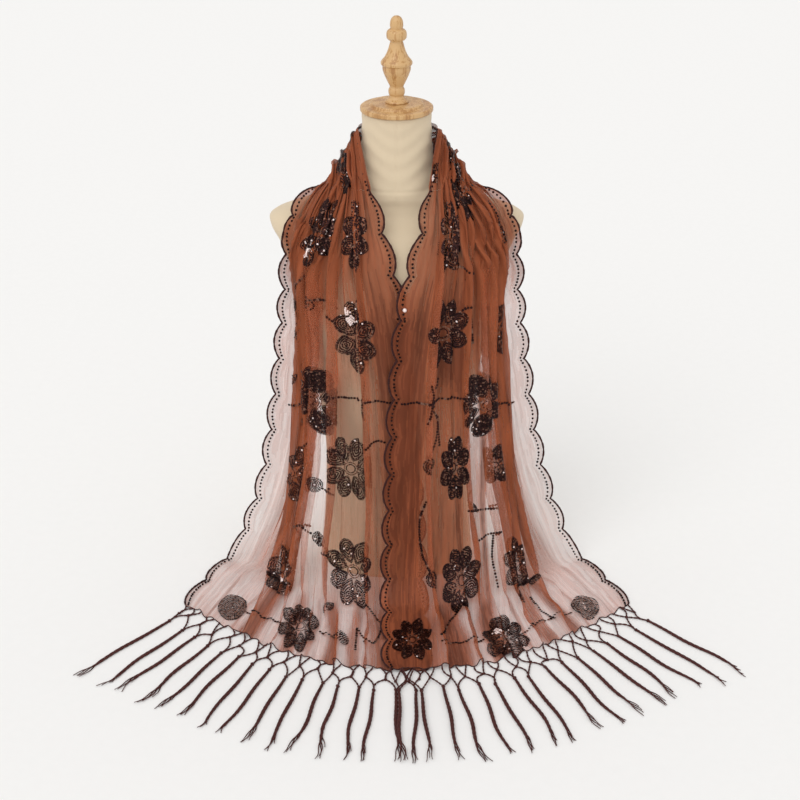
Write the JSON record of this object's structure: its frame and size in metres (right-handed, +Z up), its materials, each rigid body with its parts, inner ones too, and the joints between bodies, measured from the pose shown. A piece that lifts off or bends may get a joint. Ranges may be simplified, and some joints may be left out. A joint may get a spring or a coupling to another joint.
{
  "type": "evening stole on limbless bust form with neck cap and finial",
  "caption": "Sheer net evening stole with scalloped edges, sequin flowers and knotted fringe, draped round the neck of a limbless bust form and fanned out flat at its foot.",
  "frame": {"origin": "middle of the bust form's flat underside, on the surface that it stands on", "axes": "+Z up, the form faces -Y, +X towards the form's left and the picture's right"},
  "size_m": [1.0283, 0.6799, 0.9156],
  "materials": {
    "linen": "matt linen cover",
    "wood": "satin varnish",
    "net": "sheer net",
    "yarn": "twisted viscose yarn"
  },
  "bodies": {
    "root": {"form_body": "linen", "neck_cap": "wood", "finial": "wood", "stole_nape": "net", "stole_left_front": "net", "stole_right_front": "net", "fringe_left": "yarn", "fringe_right": "yarn"}
  },
  "joints": []
}
